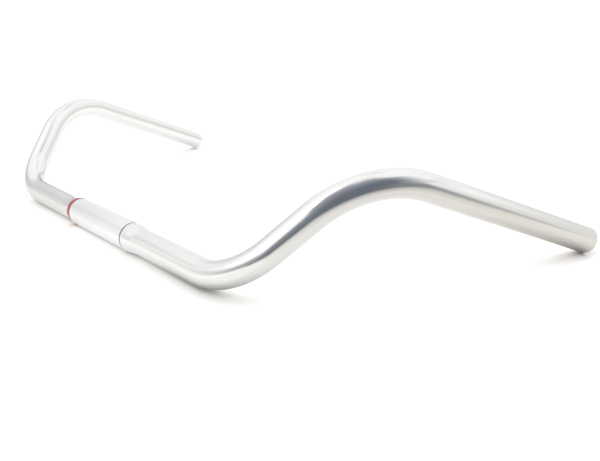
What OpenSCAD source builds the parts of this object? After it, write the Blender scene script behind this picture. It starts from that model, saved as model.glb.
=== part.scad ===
// Swept-back handlebar: one round aluminium tube, swaged up in the middle to the
// stem's clamp size and bent twice on each side.
// The bar lies as it rests on a flat surface, on its middle and on both cut ends.
// Origin: on the tube's axis at the middle of the clamp zone.
// +X to the rider's left, +Y the way the grips sweep
// back, +Z up. Sizes in millimetres and degrees.

/* [Tube] */
// Outside diameter of the tube in the arms and grips
tube_od = 22.2; // [22:0.1:23.8]
// Wall of the tube
wall = 1.8; // [1.4:0.1:2.6]
// Rounding of the outer edge at each cut end
end_round = 0.5; // [0.2:0.1:0.7]
// Chamfer of the inner edge at each cut end
end_chamfer = 0.3; // [0.1:0.05:0.5]

/* [Clamp zone] */
// Outside diameter where the stem clamps
clamp_od = 25.4; // [25:0.1:26]
// Length of the full clamp diameter
clamp_len = 102; // [60:1:150]
// Length of each swaged taper between the clamp diameter and the tube
taper_len = 22; // [10:0.5:30]

/* [First bend, out of the clamp zone] */
// Straight tube from the middle to the start of the first bend
straight_1 = 157.5; // [110:0.5:190]
// How far the first bend turns
bend_1 = 62.7; // [50:0.1:72]
// Centreline radius of the first bend
radius_1 = 63; // [55:1:80]
// How far the first bend's plane tips up from level
tip_1 = 46.25; // [30:0.05:60]

/* [Second bend, over the hump] */
// Straight tube between the bends
straight_2 = 37.5; // [20:0.5:60]
// How far the second bend turns
bend_2 = 65.33; // [50:0.01:75]
// Centreline radius of the second bend
radius_2 = 80.5; // [60:0.5:95]
// How far the tube is turned over between the two bends
roll_2 = 91.89; // [80:0.01:105]

/* [Grip] */
// Straight tube from the second bend to the cut end
straight_3 = 176.4; // [140:0.1:200]

/* [Hidden] */
$fn = 96;
ro = tube_od / 2;
ri = ro - wall;
co = clamp_od / 2;
ci = co - wall;
half_clamp = clamp_len / 2;
rise = (co - ro) / 2;                         // half of the step in radius
arc_r = (pow(taper_len / 2, 2) + rise * rise) / (2 * rise); // both arcs of a taper
taper_end = half_clamp + taper_len;

// ---- profiles ----------------------------------------------------------

// Under one side of the swaged line: x along the tube, y outwards from its axis,
// for a wall face that runs at radius big over the clamp and small past the taper.
module under_line(big, small) {
    mid = half_clamp + taper_len / 2;
    // clamp zone and the convex half of the taper
    polygon([[0, 0], [half_clamp, 0], [half_clamp, big], [0, big]]);
    intersection() {
        translate([half_clamp, big - arc_r]) circle(r = arc_r, $fn = 720);
        polygon([[half_clamp, 0], [mid, 0], [mid, big + 1], [half_clamp, big + 1]]);
    }
    // concave half of the taper
    difference() {
        polygon([[mid, 0], [taper_end, 0], [taper_end, big], [mid, big]]);
        translate([taper_end, small + arc_r]) circle(r = arc_r, $fn = 720);
    }
    // plain tube up to the first bend
    polygon([[taper_end, 0], [straight_1, 0], [straight_1, small], [taper_end, small]]);
}

// Wall of half of the middle, in section.
module middle_section() {
    difference() {
        under_line(co, ro);
        under_line(ci, ri);
    }
}

// Wall of the grip in section, with its cut end: x outwards, y along the tube.
module grip_section() {
    difference() {
        translate([ri, 0]) square([wall, straight_3]);
        // rounded outer edge
        difference() {
            translate([ro - end_round, straight_3 - end_round]) square(end_round + 1);
            translate([ro - end_round, straight_3 - end_round]) circle(r = end_round, $fn = 48);
        }
        // broken inner edge
        polygon([[ri - 1, straight_3 + 1], [ri - 1, straight_3 - end_chamfer - 1],
                 [ri + end_chamfer + 1, straight_3 + 1]]);
    }
}

// ---- one side, bent --------------------------------------------------------

// Ring of the tube's section, for the bends.
module ring(r) {
    translate([r, 0]) difference() {
        circle(r = ro);
        circle(r = ri);
    }
}

// Where the tube leaves a bend, in the local frame: it arrives along +Y and turns
// towards -X.
module past_bend(r, turn) {
    translate([-r, 0, 0]) rotate([0, 0, turn]) translate([r, 0, 0]) children();
}

// The bend itself: a full ring of tube, kept between the planes of its two ends.
module bend(r, turn) {
    difference() {
        translate([-r, 0, 0]) rotate_extrude(angle = turn + 6, $fn = 360) ring(r);
        past_bend(r, turn) translate([-tube_od, 0, -tube_od])
            cube([2 * tube_od, 2 * tube_od, 2 * tube_od]);
    }
}

// Straight tube along +Y.
module straight(len) {
    rotate([-90, 0, 0]) difference() {
        cylinder(r = ro, h = len);
        cylinder(r = ri, h = len);
    }
}

// Grip, straight to its cut end.
module grip() {
    rotate([-90, 0, 0]) rotate_extrude() grip_section();
}

module side() {
    // half of the clamp zone, its taper and the straight up to the first bend
    rotate([0, 90, 0]) rotate_extrude() rotate([0, 0, 90]) mirror([0, 1, 0]) middle_section();
    translate([straight_1, 0, 0]) rotate([tip_1, 0, 0]) rotate([0, 0, -90]) {
        bend(radius_1, bend_1);
        past_bend(radius_1, bend_1) {
            straight(straight_2);
            translate([0, straight_2, 0]) rotate([0, -roll_2, 0]) {
                bend(radius_2, bend_2);
                past_bend(radius_2, bend_2) grip();
            }
        }
    }
}

// The whole bar is one tube.
module bar() {
    color([0.80, 0.80, 0.79]) union() {
        side();
        mirror([1, 0, 0]) side();
    }
}

bar();
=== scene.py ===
import math

import bpy
from mathutils import Matrix, Vector


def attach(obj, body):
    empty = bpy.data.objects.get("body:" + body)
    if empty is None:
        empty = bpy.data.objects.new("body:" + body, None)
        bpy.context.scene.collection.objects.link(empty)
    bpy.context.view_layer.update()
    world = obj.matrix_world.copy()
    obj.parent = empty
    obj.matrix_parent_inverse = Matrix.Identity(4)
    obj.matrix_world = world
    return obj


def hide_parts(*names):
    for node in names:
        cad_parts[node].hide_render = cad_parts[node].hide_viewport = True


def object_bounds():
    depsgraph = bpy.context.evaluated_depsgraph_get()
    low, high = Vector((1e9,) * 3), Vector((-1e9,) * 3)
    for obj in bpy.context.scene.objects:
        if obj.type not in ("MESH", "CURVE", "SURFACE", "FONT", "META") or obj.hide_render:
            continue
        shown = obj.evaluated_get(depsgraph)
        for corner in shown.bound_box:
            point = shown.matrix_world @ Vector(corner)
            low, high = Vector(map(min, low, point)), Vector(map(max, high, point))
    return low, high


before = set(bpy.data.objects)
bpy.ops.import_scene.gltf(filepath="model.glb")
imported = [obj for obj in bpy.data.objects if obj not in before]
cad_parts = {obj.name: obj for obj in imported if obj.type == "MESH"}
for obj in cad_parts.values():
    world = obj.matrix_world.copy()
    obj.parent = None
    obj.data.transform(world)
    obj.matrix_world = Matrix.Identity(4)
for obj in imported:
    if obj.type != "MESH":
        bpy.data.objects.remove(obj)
cad_box = [list(map(float, v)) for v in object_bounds()]

# ---------------------------------------------------------------------------
# The bar's own dimensions, in metres and degrees, as the CAD part has them.
# ---------------------------------------------------------------------------
R_TUBE, R_CLAMP, WALL = 0.0111, 0.0127, 0.0018
HALF_CLAMP, TAPER = 0.051, 0.022
L1, B1, R1, TIP = 0.1575, 62.7, 0.063, 46.25
L2, B2, R2, ROLL = 0.0375, 65.33, 0.0805, 91.89
L3 = 0.1764
END_ROUND, END_CHAMFER = 0.0005, 0.0003
AROUND = 112


def smooth(t):
    return t * t * (3 - 2 * t)


# ---------------------------------------------------------------------------
# Stations along one side: distance from the middle, frame, outer and inner
# radius. The frame's Y runs along the tube.
# ---------------------------------------------------------------------------
def arc_step(x):
    """The taper's radius above the tube's at x past the clamp zone: two arcs."""
    rise = (R_CLAMP - R_TUBE) / 2
    rho = ((TAPER / 2) ** 2 + rise ** 2) / (2 * rise)
    if x <= TAPER / 2:
        return 2 * rise - (rho - math.sqrt(rho * rho - x * x))
    y = TAPER - x
    return rho - math.sqrt(rho * rho - y * y)


def swaged(x):
    """How much thicker than the plain tube the bar is at x from the middle."""
    if x <= HALF_CLAMP:
        return R_CLAMP - R_TUBE
    if x >= HALF_CLAMP + TAPER:
        return 0.0
    return arc_step(x - HALF_CLAMP)


def rot(deg, axis):
    return Matrix.Rotation(math.radians(deg), 4, axis)


def side_stations():
    out = []
    start = rot(TIP, "X") @ rot(-90, "Z")

    def add(s, m, extra=0.0):
        out.append((s, m.copy(), R_TUBE + extra, R_TUBE - WALL + extra))

    xs = [i * 0.0055 for i in range(10)]
    xs += [HALF_CLAMP + i * TAPER / 18 for i in range(19)]
    xs += [HALF_CLAMP + TAPER + i * (L1 - HALF_CLAMP - TAPER) / 14 for i in range(1, 15)]
    for x in xs:
        add(x, Matrix.Translation((x, 0, 0)) @ start, swaged(x))
    s = L1
    m = Matrix.Translation((L1, 0, 0)) @ start
    turned = 0.0  # what the ring's frame lags behind the bend's

    def bend(m, s, r, deg, turned, steps):
        for i in range(1, steps + 1):
            a = deg * i / steps
            q = m @ Matrix.Translation((-r, 0, 0)) @ rot(a, "Z") @ Matrix.Translation((r, 0, 0))
            add(s + r * math.radians(a), q @ rot(turned, "Y"))
        return q, s + r * math.radians(deg)

    def straight(m, s, length, turned, steps):
        for i in range(1, steps + 1):
            add(s + length * i / steps, m @ Matrix.Translation((0, length * i / steps, 0)) @ rot(turned, "Y"))
        return m @ Matrix.Translation((0, length, 0)), s + length

    m, s = bend(m, s, R1, B1, turned, 40)
    m, s = straight(m, s, L2, turned, 7)
    m = m @ rot(-ROLL, "Y")
    turned = ROLL
    m, s = bend(m, s, R2, B2, turned, 48)
    m, s = straight(m, s, L3 - 0.002, turned, 26)
    return out, m, s, turned


STATIONS, END_M, END_S, TURNED = side_stations()
BAR_LENGTH = 2 * (END_S + 0.002)


def side_rings():
    """Outer rings from the middle to the cut end, over it, and back inside to the
    middle: (distance along, frame, radius, which face)."""
    rings = [(s, m, ro, 0) for s, m, ro, ri in STATIONS]
    flat = END_M @ rot(TURNED, "Y")
    ro, ri = R_TUBE, R_TUBE - WALL
    for k in range(0, 9):  # rounded outer edge
        a = math.radians(90 * k / 8)
        y = 0.002 - END_ROUND + END_ROUND * math.sin(a)
        r = ro - END_ROUND + END_ROUND * math.cos(a)
        rings.append((END_S + y, flat @ Matrix.Translation((0, y, 0)), r, 1))
    y = 0.002
    for t in (0.35, 0.7, 1.0):  # sawn face
        r = (ro - END_ROUND) + t * ((ri + END_CHAMFER) - (ro - END_ROUND))
        rings.append((END_S + y, flat @ Matrix.Translation((0, y, 0)), r, 2))
    rings.append((END_S + y - END_CHAMFER, flat @ Matrix.Translation((0, y - END_CHAMFER, 0)), ri, 3))
    for s, m, ro_, ri_ in reversed(STATIONS):
        rings.append((s, m, ri_, 3))
    return rings


def build_bar():
    import bmesh

    me = bpy.data.meshes.new("handlebar_tube")
    bm = bmesh.new()
    along = bm.verts.layers.float_vector.new("tube")  # place on the unrolled tube
    face_kind = bm.verts.layers.float.new("kind")     # 0 outside, 1 edge, 2 sawn, 3 inside
    half = side_rings()

    def ring_verts(ring, mirror):
        s, m, r, kind = ring
        row = []
        for k in range(AROUND):
            a = 2 * math.pi * k / AROUND
            p = m @ Vector((r * math.cos(a), 0, r * math.sin(a)))
            if mirror:
                p.x = -p.x
            for c in range(3):  # never past the CAD part's own box
                p[c] = min(max(p[c], cad_box[0][c] + 1e-6), cad_box[1][c] - 1e-6)
            v = bm.verts.new(p)
            v[along] = Vector((r * math.cos(a), r * math.sin(a), -s if mirror else s))
            v[face_kind] = float(kind)
            row.append(v)
        return row

    right = [ring_verts(r, False) for r in half]
    left = [right[0]] + [ring_verts(r, True) for r in half[1:-1]] + [right[-1]]
    for rows, flip in ((right, False), (left, True)):
        for a, b in zip(rows, rows[1:]):
            for k in range(AROUND):
                j = (k + 1) % AROUND
                quad = (a[k], a[j], b[j], b[k])
                bm.faces.new(quad if not flip else quad[::-1])
    bmesh.ops.recalc_face_normals(bm, faces=bm.faces)
    for f in bm.faces:
        f.smooth = True
    bm.normal_update()
    for e in bm.edges:
        if len(e.link_faces) == 2 and e.calc_face_angle(0) > math.radians(35):
            e.smooth = False
    bm.to_mesh(me)
    bm.free()
    ob = bpy.data.objects.new("handlebar_tube", me)
    bpy.context.scene.collection.objects.link(ob)
    # a map that unrolls the tube: round it across, along it up
    uv = me.uv_layers.new(name="unrolled")
    tube = me.attributes["tube"].data
    for poly in me.polygons:
        us = []
        for li in poly.loop_indices:
            t = tube[me.loops[li].vertex_index].vector
            us.append((math.atan2(t[1], t[0]) / (2 * math.pi)) % 1.0)
        wrap = max(us) - min(us) > 0.5
        for li, u in zip(poly.loop_indices, us):
            t = tube[me.loops[li].vertex_index].vector
            if wrap and u < 0.5:
                u += 1.0
            uv.data[li].uv = (u, t[2] / BAR_LENGTH + 0.5)
    return ob


# ---------------------------------------------------------------------------
# Node helpers
# ---------------------------------------------------------------------------
class Graph:
    def __init__(self, tree):
        self.t = tree
        tree.nodes.clear()

    def node(self, kind, **props):
        n = self.t.nodes.new(kind)
        for k, v in props.items():
            setattr(n, k, v)
        return n

    def put(self, socket, value):
        if isinstance(value, bpy.types.NodeSocket):
            self.t.links.new(value, socket)
        else:
            socket.default_value = value

    def math(self, op, a, b=0.0, c=0.0, clamp=False):
        n = self.node("ShaderNodeMath", operation=op, use_clamp=clamp)
        for i, v in enumerate((a, b, c)):
            if i < len(n.inputs):
                self.put(n.inputs[i], v)
        return n.outputs[0]

    def ramp(self, value, lo, hi, a=0.0, b=1.0, kind="SMOOTHSTEP"):
        n = self.node("ShaderNodeMapRange", interpolation_type=kind)
        n.clamp = True
        self.put(n.inputs["Value"], value)
        for k, v in (("From Min", lo), ("From Max", hi), ("To Min", a), ("To Max", b)):
            self.put(n.inputs[k], v)
        return n.outputs["Result"]

    def mix(self, fac, a, b):
        n = self.node("ShaderNodeMix", data_type="RGBA")
        self.put(n.inputs["Factor"], fac)
        self.put(n.inputs[6], a)
        self.put(n.inputs[7], b)
        return n.outputs[2]

    def noise(self, vector, scale, detail=2.0, rough=0.5, dims="3D"):
        n = self.node("ShaderNodeTexNoise", noise_dimensions=dims)
        self.put(n.inputs["Vector"], vector)
        n.inputs["Scale"].default_value = scale
        n.inputs["Detail"].default_value = detail
        n.inputs["Roughness"].default_value = rough
        return n.outputs[0]

    def stretch(self, vector, sx, sy, sz):
        n = self.node("ShaderNodeMapping")
        self.put(n.inputs["Vector"], vector)
        n.inputs["Scale"].default_value = (sx, sy, sz)
        return n.outputs[0]


# ---------------------------------------------------------------------------
# Aluminium with the printed zone
# ---------------------------------------------------------------------------
def bar_material():
    mat = bpy.data.materials.new("satin_anodised_aluminium")
    mat.use_nodes = True
    g = Graph(mat.node_tree)
    out = g.node("ShaderNodeOutputMaterial")
    bsdf = g.node("ShaderNodeBsdfPrincipled")
    g.t.links.new(bsdf.outputs[0], out.inputs["Surface"])
    at = g.node("ShaderNodeAttribute", attribute_type="GEOMETRY", attribute_name="tube")
    tube = at.outputs["Vector"]
    sep = g.node("ShaderNodeSeparateXYZ")
    g.put(sep.inputs[0], tube)
    s = sep.outputs[2]
    kind = g.node("ShaderNodeAttribute", attribute_type="GEOMETRY", attribute_name="kind").outputs["Fac"]

    # fine lines along the tube from the brushing, and slow changes of tone
    lines = g.noise(g.stretch(tube, 2600, 2600, 26), 1.0, 3.0, 0.6)
    coarse_lines = g.noise(g.stretch(tube, 700, 700, 9), 1.0, 2.0, 0.5)
    cloud = g.noise(g.stretch(tube, 60, 60, 14), 1.0, 2.0, 0.5)
    grain = g.noise(g.stretch(tube, 9000, 9000, 9000), 1.0, 2.0, 0.6)

    # where the print is
    def between(lo, hi, soft):
        a = g.ramp(s, lo - soft, lo + soft)
        b = g.ramp(s, hi - soft, hi + soft, 1.0, 0.0)
        return g.math("MULTIPLY", a, b)

    outside = g.ramp(kind, 0.4, 0.6, 1.0, 0.0)
    field = g.math("MULTIPLY", between(-0.0560, 0.0514, 0.00008), outside)
    red = g.math("MULTIPLY", between(-0.0592, -0.0522, 0.00008), outside)
    dark = g.math("MULTIPLY", between(0.05085, 0.05235, 0.00006), outside)
    inside = g.ramp(kind, 2.4, 2.6)
    sawn = g.math("MULTIPLY", g.ramp(kind, 1.4, 1.6), g.ramp(kind, 2.4, 2.6, 1.0, 0.0))

    metal = g.mix(g.ramp(coarse_lines, 0.3, 0.7, kind="LINEAR"), (0.635, 0.633, 0.625, 1), (0.695, 0.693, 0.685, 1))
    metal = g.mix(g.ramp(cloud, 0.35, 0.7, 0.0, 0.5, kind="LINEAR"), metal, (0.64, 0.642, 0.64, 1))
    metal = g.mix(inside, metal, (0.42, 0.42, 0.41, 1))
    printed = g.mix(g.ramp(cloud, 0.3, 0.7, kind="LINEAR"), (0.715, 0.725, 0.72, 1), (0.765, 0.775, 0.77, 1))
    colour = g.mix(g.math("MULTIPLY", field, 0.8), metal, printed)
    colour = g.mix(red, colour, g.mix(g.ramp(lines, 0.3, 0.7, kind="LINEAR"), (0.315, 0.028, 0.026, 1), (0.385, 0.044, 0.040, 1)))
    colour = g.mix(dark, colour, (0.012, 0.012, 0.013, 1))
    g.put(bsdf.inputs["Base Color"], colour)

    ink = g.math("MAXIMUM", red, dark)
    metallic = g.math("SUBTRACT", 1.0, g.math("MULTIPLY", field, 0.10))
    metallic = g.math("MULTIPLY", metallic, g.math("SUBTRACT", 1.0, g.math("MULTIPLY", ink, 0.95)))
    g.put(bsdf.inputs["Metallic"], metallic)
    bsdf.inputs["Specular Tint"].default_value = (0.90, 0.90, 0.91, 1)  # the metal's dip at grazing angles

    rough = g.ramp(lines, 0.25, 0.75, 0.105, 0.165, kind="LINEAR")
    rough = g.math("ADD", rough, g.ramp(cloud, 0.3, 0.7, 0.0, 0.03, kind="LINEAR"))
    rough = g.math("ADD", rough, g.math("MULTIPLY", field, 0.10))
    rough = g.math("ADD", rough, g.math("MULTIPLY", ink, 0.15))
    rough = g.math("ADD", rough, g.math("MULTIPLY", inside, 0.35))
    rough = g.math("ADD", rough, g.math("MULTIPLY", sawn, 0.22))
    g.put(bsdf.inputs["Roughness"], rough)

    bump = g.node("ShaderNodeBump")
    bump.inputs["Strength"].default_value = 0.10
    bump.inputs["Distance"].default_value = 0.0001
    height = g.math("ADD", g.math("MULTIPLY", lines, 1.0), g.math("MULTIPLY", grain, 0.25))
    height = g.math("ADD", height, g.math("MULTIPLY", coarse_lines, 1.6))
    height = g.math("ADD", height, g.math("MULTIPLY", g.math("MAXIMUM", field, ink), 0.25))
    g.put(bump.inputs["Height"], height)
    g.put(bsdf.inputs["Normal"], bump.outputs[0])
    return mat


bar = build_bar()
bar.data.materials.append(bar_material())
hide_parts("bar")
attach(bar, "root")

# ---------------------------------------------------------------------------
# Floor, light and camera
# ---------------------------------------------------------------------------
FLOOR_Z = cad_box[0][2]
OPEN_LIGHT = 1.07   # radiance of a white floor in the open under this dome
WHITE = 1.34        # what the floor shows directly, a little over plain white


def add_floor():
    me = bpy.data.meshes.new("floor")
    r = 30.0
    me.from_pydata([(-r, -r, FLOOR_Z), (r, -r, FLOOR_Z), (r, r, FLOOR_Z), (-r, r, FLOOR_Z)], [], [(0, 1, 2, 3)])
    ob = bpy.data.objects.new("floor", me)
    bpy.context.scene.collection.objects.link(ob)
    mat = bpy.data.materials.new("pale_floor")
    mat.use_nodes = True
    g = Graph(mat.node_tree)
    out = g.node("ShaderNodeOutputMaterial")
    geo = g.node("ShaderNodeNewGeometry")
    sep = g.node("ShaderNodeSeparateXYZ")
    g.put(sep.inputs[0], geo.outputs["Position"])
    px, py = sep.outputs[0], sep.outputs[1]
    # what the metal mirrors is painted light on the floor, not its own colour: white in the middle,
    # painted shade turning beige towards the camera, then falling off into the painted shade of the dark side of
    # the room
    painted_falloff = g.ramp(g.math("ADD", px, g.math("MULTIPLY", py, 0.35)), 0.02, 0.50)
    tone = g.mix(painted_falloff, (1.47, 1.465, 1.45, 1), (1.15, 1.11, 1.025, 1))
    # painted shade: a dimmer patch of floor at the middle front, seen in reflections
    corner = g.math("MULTIPLY", g.ramp(px, -0.20, 0.03, 1.0, 0.0), g.ramp(py, 0.02, 0.12, 1.0, 0.0))
    tone = g.mix(corner, tone, (1.27, 1.26, 1.22, 1))
    # painted shade: the floor darkens towards the camera's right, into the room's dark side
    aside = g.math("SUBTRACT", px, g.math("MULTIPLY", g.math("MAXIMUM", g.math("SUBTRACT", py, 0.10), 0.0), 0.65))
    painted_room_shade = g.mix(g.ramp(py, 0.10, 0.85, kind="LINEAR"), (0.24, 0.255, 0.285, 1), (0.79, 0.78, 0.755, 1))
    tone = g.mix(g.ramp(aside, 0.26, 0.64), tone, painted_room_shade)
    # the contact shadow gathers close under the tube
    ao = g.node("ShaderNodeAmbientOcclusion", samples=12)
    ao.inputs["Distance"].default_value = 0.05
    open_sky = g.ramp(ao.outputs["AO"], 0.05, 0.85, kind="LINEAR")
    under = g.math("MULTIPLY", g.ramp(px, 0.06, 0.17), g.math("SUBTRACT", 1.0, open_sky))
    tone = g.mix(under, tone, (0.36, 0.35, 0.33, 1))
    lit = g.node("ShaderNodeBsdfDiffuse")
    scaled = g.node("ShaderNodeVectorMath", operation="SCALE")
    g.put(scaled.inputs[0], tone)
    scaled.inputs["Scale"].default_value = 1.0 / OPEN_LIGHT
    g.put(lit.inputs["Color"], scaled.outputs[0])
    # painted light: about a third of what the floor shows in reflections glows as emission, lifting its shadows
    painted_glow = g.node("ShaderNodeEmission")
    g.put(painted_glow.inputs["Color"], tone)
    mirrored = g.node("ShaderNodeMixShader")
    mirrored.inputs[0].default_value = 0.35
    g.t.links.new(lit.outputs[0], mirrored.inputs[1])
    g.t.links.new(painted_glow.outputs[0], mirrored.inputs[2])
    # seen directly the floor is just overexposed to plain white, with a warm grey painted contact shadow where the
    # AO is low
    direct = g.node("ShaderNodeBsdfDiffuse")
    c = WHITE / OPEN_LIGHT
    g.put(direct.inputs["Color"], g.mix(g.ramp(ao.outputs["AO"], 0.02, 0.36), (0.44 * c, 0.42 * c, 0.39 * c, 1), (1.02 * c, c, 0.97 * c, 1)))
    path = g.node("ShaderNodeLightPath")
    both = g.node("ShaderNodeMixShader")
    g.t.links.new(path.outputs["Is Camera Ray"], both.inputs[0])
    g.t.links.new(mirrored.outputs[0], both.inputs[1])
    g.t.links.new(direct.outputs[0], both.inputs[2])
    g.t.links.new(both.outputs[0], out.inputs["Surface"])
    me.materials.append(mat)
    return ob


def add_wall():
    """A pale wall behind the bar, greyer towards the right, seen only in reflections."""
    verts, faces = [], []
    for i in range(25):
        px = -2.2 + i * 0.2
        py = 1.5 - 0.02 * (px - 0.2) ** 2
        verts += [(px, py, FLOOR_Z), (px, py, 0.42), (px, py, 0.80)]
        if i:
            k = 3 * i
            faces += [(k - 3, k, k + 1, k - 2), (k - 2, k + 1, k + 2, k - 1)]
    me = bpy.data.meshes.new("wall")
    me.from_pydata(verts, [], faces)
    ob = bpy.data.objects.new("wall", me)
    bpy.context.scene.collection.objects.link(ob)
    mat = bpy.data.materials.new("pale_wall")
    mat.use_nodes = True
    g = Graph(mat.node_tree)
    out = g.node("ShaderNodeOutputMaterial")
    em = g.node("ShaderNodeEmission")
    geo = g.node("ShaderNodeNewGeometry")
    sep = g.node("ShaderNodeSeparateXYZ")
    g.put(sep.inputs[0], geo.outputs["Position"])
    tone = g.mix(g.ramp(sep.outputs[0], -0.34, 0.16), (1.28, 1.28, 1.265, 1), (1.08, 1.07, 1.05, 1))
    tone = g.mix(g.ramp(sep.outputs[2], 0.05, 0.28, 1.0, 0.0), tone, (1.12, 1.11, 1.09, 1))
    tone = g.mix(g.ramp(sep.outputs[2], 0.44, 0.72), tone, (1.36, 1.36, 1.36, 1))
    g.put(em.inputs["Color"], tone)
    g.t.links.new(em.outputs[0], out.inputs["Surface"])
    me.materials.append(mat)
    ob.visible_camera = False
    ob.visible_diffuse = False
    ob.visible_shadow = False
    return ob


def set_world():
    """Soft studio light: a white dome, dimmer towards the horizon, with the dark side of
    the room behind the camera."""
    world = bpy.data.worlds.new("studio")
    bpy.context.scene.world = world
    world.use_nodes = True
    g = Graph(world.node_tree)
    out = g.node("ShaderNodeOutputWorld")
    bg = g.node("ShaderNodeBackground")
    g.t.links.new(bg.outputs[0], out.inputs["Surface"])
    co = g.node("ShaderNodeTexCoord")
    sep = g.node("ShaderNodeSeparateXYZ")
    g.put(sep.inputs[0], co.outputs["Generated"])
    x, y, z = sep.outputs[0], sep.outputs[1], sep.outputs[2]
    deg = 180 / math.pi
    el = g.math("MULTIPLY", g.math("ARCSINE", z), deg)
    az = g.math("MULTIPLY", g.math("ARCTAN2", y, x), deg)

    # white dome above a greyer wall
    pale = g.math("ADD",
                  g.math("MULTIPLY", g.ramp(az, -164, -149), g.ramp(az, -105, -85, 1.0, 0.0)),
                  g.math("MULTIPLY", g.ramp(az, 100, 125), g.ramp(az, 156, 174, 1.0, 0.0)))
    wall = g.mix(pale, (0.93, 0.935, 0.935, 1), (1.25, 1.25, 1.24, 1))
    lit = g.mix(g.ramp(el, 19, 35), wall, (1.36, 1.36, 1.36, 1))
    lit = g.mix(g.ramp(el, 42, 62), lit, (1.42, 1.42, 1.42, 1))
    lit = g.mix(g.ramp(el, 72, 86), lit, (1.27, 1.27, 1.27, 1))

    # a softbox high on the left
    box = g.math("MULTIPLY", g.ramp(az, -150, -120), g.ramp(az, -70, -60, 1.0, 0.0))
    box = g.math("MULTIPLY", box, g.math("MULTIPLY", g.ramp(el, 18, 30), g.ramp(el, 62, 78, 1.0, 0.0)))
    lit = g.mix(box, lit, (1.9, 1.9, 1.9, 1))

    # dark side behind the camera: crisp on its left low down, softer upwards
    edge = g.math("ADD", g.ramp(el, -14, -2, -50, -70, kind="LINEAR"), g.ramp(el, -2, 10, 0, -10, kind="LINEAR"))
    edge = g.math("ADD", edge, g.ramp(el, 10, 20, 0, 7))
    edge = g.math("ADD", edge, g.ramp(el, 22, 38, 0, -14))
    edge = g.math("ADD", edge, g.ramp(el, 46, 58, 0, -8))
    edge = g.math("ADD", edge, g.ramp(el, 60, 74, 0, 10))
    soft = g.ramp(el, 42, 66, 5, 17)
    left = g.ramp(g.math("SUBTRACT", az, edge), g.math("MULTIPLY", soft, -1.0), soft)
    middle = g.math("ADD", g.ramp(el, 20, 34, 19, 26), g.ramp(el, 44, 58, 0, -14))
    wide = g.math("ADD", g.ramp(el, 20, 34, 15, 24), g.ramp(el, 44, 60, 0, -8))
    right = g.ramp(g.math("SUBTRACT", az, middle), g.math("MULTIPLY", wide, -1.0), wide, 1.0, 0.0)
    dim = g.math("MULTIPLY", left, right)
    dim = g.math("MULTIPLY", dim, g.ramp(el, 71, 85, 1.0, 0.0))
    up = g.ramp(el, 8, 84, kind="LINEAR")
    up = g.math("MULTIPLY", up, g.math("MULTIPLY", up, up))
    shade = g.mix(up, (0.19, 0.222, 0.28, 1), (0.95, 0.96, 0.98, 1))
    shade = g.mix(g.ramp(az, -86, -36, 0.85, 0.0), shade, (0.50, 0.52, 0.55, 1))
    spots = g.noise(co.outputs["Generated"], 5.5, 2.0, 0.5)
    shade = g.mix(g.ramp(spots, 0.56, 0.72, 0.0, 0.75), shade, (0.33, 0.27, 0.245, 1))
    col = g.mix(dim, lit, shade)

    # a thin dim band that runs on from it above the horizon
    band = g.math("MULTIPLY", g.ramp(el, 0, 6), g.ramp(el, 13, 20, 1.0, 0.0))
    band = g.math("MULTIPLY", band, g.ramp(az, -148, -84, kind="LINEAR"))
    band = g.math("MULTIPLY", band, g.ramp(az, -82, -74, 1.0, 0.0))
    col = g.mix(band, col, (0.40, 0.43, 0.46, 1))

    # dimmer along the horizon on the right
    low = g.math("MULTIPLY", g.ramp(el, 6, 24, 1.0, 0.0), g.ramp(az, 5, 25))
    low = g.math("MULTIPLY", low, g.ramp(az, 30, 70, 1.0, 0.0))
    col = g.mix(low, col, (0.65, 0.64, 0.625, 1))
    # the backdrop itself is plain white
    path = g.node("ShaderNodeLightPath")
    col = g.mix(path.outputs["Is Camera Ray"], col, (1.1, 1.1, 1.1, 1))
    g.put(bg.inputs["Color"], col)
    bg.inputs["Strength"].default_value = 1.0
    return world


def add_flag():
    """A low dark screen on the floor behind and beside the camera, seen only in
    reflections."""
    line = [(0.36, -1.60), (0.60, -0.90), (0.63, -0.30), (0.62, 0.00), (0.64, 0.12), (0.70, 0.30), (0.82, 0.48), (1.00, 0.78), (1.14, 1.06)]
    verts, faces = [], []
    for i, (px, py) in enumerate(line):
        d = math.hypot(px - 0.26, py - 0.10)
        verts += [(px, py, FLOOR_Z + 0.01), (px, py, 0.075 + d * 0.02 + (0.05 if py > 0.1 else 0.0))]
        if i:
            k = 2 * i
            faces.append((k - 2, k, k + 1, k - 1))
    me = bpy.data.meshes.new("flag")
    me.from_pydata(verts, [], faces)
    ob = bpy.data.objects.new("flag", me)
    bpy.context.scene.collection.objects.link(ob)
    mat = bpy.data.materials.new("dark_screen")
    mat.use_nodes = True
    g = Graph(mat.node_tree)
    out = g.node("ShaderNodeOutputMaterial")
    em = g.node("ShaderNodeEmission")
    geo = g.node("ShaderNodeNewGeometry")
    sep = g.node("ShaderNodeSeparateXYZ")
    g.put(sep.inputs[0], geo.outputs["Position"])
    tone = g.mix(g.ramp(sep.outputs[1], 0.02, 0.85, kind="LINEAR"), (0.20, 0.225, 0.265, 1), (0.81, 0.80, 0.78, 1))
    g.put(em.inputs["Color"], tone)
    g.t.links.new(em.outputs[0], out.inputs["Surface"])
    me.materials.append(mat)
    ob.visible_camera = False
    ob.visible_diffuse = False
    ob.visible_shadow = False
    return ob


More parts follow.
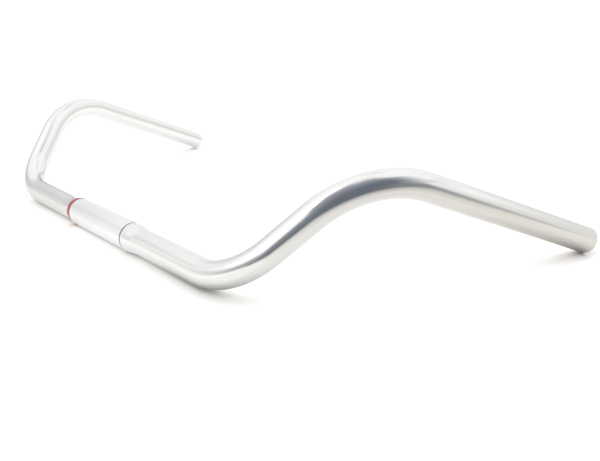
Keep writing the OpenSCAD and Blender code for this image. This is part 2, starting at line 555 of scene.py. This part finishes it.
def add_panel():
    """A grey panel hung over the far side of the table, seen only in reflections as a
    soft streak along the top of each hump."""
    me = bpy.data.meshes.new("panel")
    x, y, z, a, b = -0.77, 1.26, 2.77, 0.62, 0.34
    me.from_pydata([(x - a, y - b, z), (x + a, y - b, z), (x + a, y + b, z), (x - a, y + b, z)], [], [(0, 3, 2, 1)])
    ob = bpy.data.objects.new("panel", me)
    bpy.context.scene.collection.objects.link(ob)
    mat = bpy.data.materials.new("grey_panel")
    mat.use_nodes = True
    g = Graph(mat.node_tree)
    out = g.node("ShaderNodeOutputMaterial")
    em = g.node("ShaderNodeEmission")
    em.inputs["Color"].default_value = (1.14, 1.145, 1.15, 1)
    g.t.links.new(em.outputs[0], out.inputs["Surface"])
    me.materials.append(mat)
    ob.visible_camera = False
    ob.visible_diffuse = False
    ob.visible_shadow = False
    return ob


def add_camera():
    pos = Vector((0.58192, -0.25517, 0.18816))
    yaw, pitch, roll = math.radians(140.359), math.radians(17.84), math.radians(0.629)
    focal_px = 708.3
    fwd = Vector((math.cos(pitch) * math.cos(yaw), math.cos(pitch) * math.sin(yaw), -math.sin(pitch)))
    right = Vector((math.sin(yaw), -math.cos(yaw), 0.0))
    down = fwd.cross(right)
    r2 = right * math.cos(roll) + down * math.sin(roll)
    d2 = -right * math.sin(roll) + down * math.cos(roll)
    cam = bpy.data.cameras.new("camera")
    cam.sensor_fit = "HORIZONTAL"
    cam.sensor_width = 36.0
    cam.lens = focal_px * 36.0 / 600.0
    cam.clip_start = 0.01
    cam.clip_end = 200.0
    ob = bpy.data.objects.new("camera", cam)
    m = Matrix.Identity(4)
    for i, v in enumerate((r2, -d2, -fwd)):
        for k in range(3):
            m[k][i] = v[k]
    for k in range(3):
        m[k][3] = pos[k]
    ob.matrix_world = m
    bpy.context.scene.collection.objects.link(ob)
    bpy.context.scene.camera = ob
    return ob


add_floor()
add_flag()
add_wall()
add_panel()
set_world()
add_camera()
scene = bpy.context.scene
scene.view_settings.view_transform = "Standard"
scene.view_settings.look = "None"
